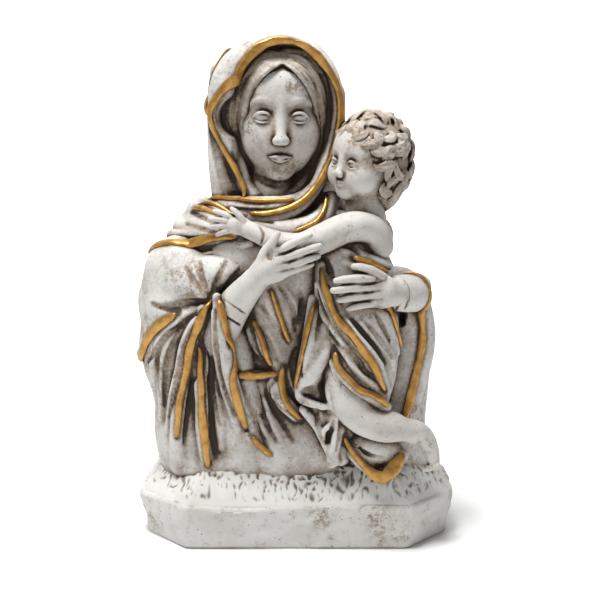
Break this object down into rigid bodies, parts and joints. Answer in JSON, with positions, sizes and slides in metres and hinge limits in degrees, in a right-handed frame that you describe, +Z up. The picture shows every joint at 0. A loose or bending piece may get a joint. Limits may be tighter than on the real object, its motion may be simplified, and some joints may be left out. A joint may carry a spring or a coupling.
{
  "type": "madonna statue",
  "caption": "Cast plaster half figure of a veiled mother holding a curly-haired child, toned brown, with gilt hems, on a cut-cornered plinth.",
  "frame": {"origin": "centre of the plinth's underside", "axes": "+Z up, -Y is the front that the mother faces, +X the side on which she holds the child"},
  "size_m": [0.1912, 0.1192, 0.2981],
  "materials": {
    "plaster": "matt cast plaster, off-white, toned with a brown wash in the hollows",
    "smooth_plaster": "smooth matt plaster of the faces and hands, lightly toned",
    "toned_hair": "matt plaster hair, brown wash held between the locks",
    "stippled_plaster": "stippled matt plaster ground with brown wash in the pits",
    "gold_paint": "satin gold paint on the raised hems, brown at its edges"
  },
  "bodies": {
    "root": {"plinth": "plaster", "ground": "stippled_plaster", "mantle": "plaster", "gown": "plaster", "gown_hems": "gold_paint", "belt": "gold_paint", "mother_head": "smooth_plaster", "mother_hair": "toned_hair", "veil": "plaster", "veil_hem": "gold_paint", "neck_scarf": "plaster", "neck_hem": "gold_paint", "cape": "plaster", "cape_hems": "gold_paint", "right_sleeve": "plaster", "right_sleeve_hems": "gold_paint", "right_hand": "smooth_plaster", "left_sleeve": "plaster", "left_sleeve_hem": "gold_paint", "left_cuff": "plaster", "left_hand": "smooth_plaster", "child_head": "smooth_plaster", "child_curls": "toned_hair", "child_arm": "smooth_plaster", "child_robe": "plaster", "child_robe_hems": "gold_paint", "child_swag": "plaster", "child_swag_hem": "gold_paint", "child_leg": "smooth_plaster", "robe_tail": "plaster", "robe_tail_hem": "gold_paint"}
  },
  "joints": []
}
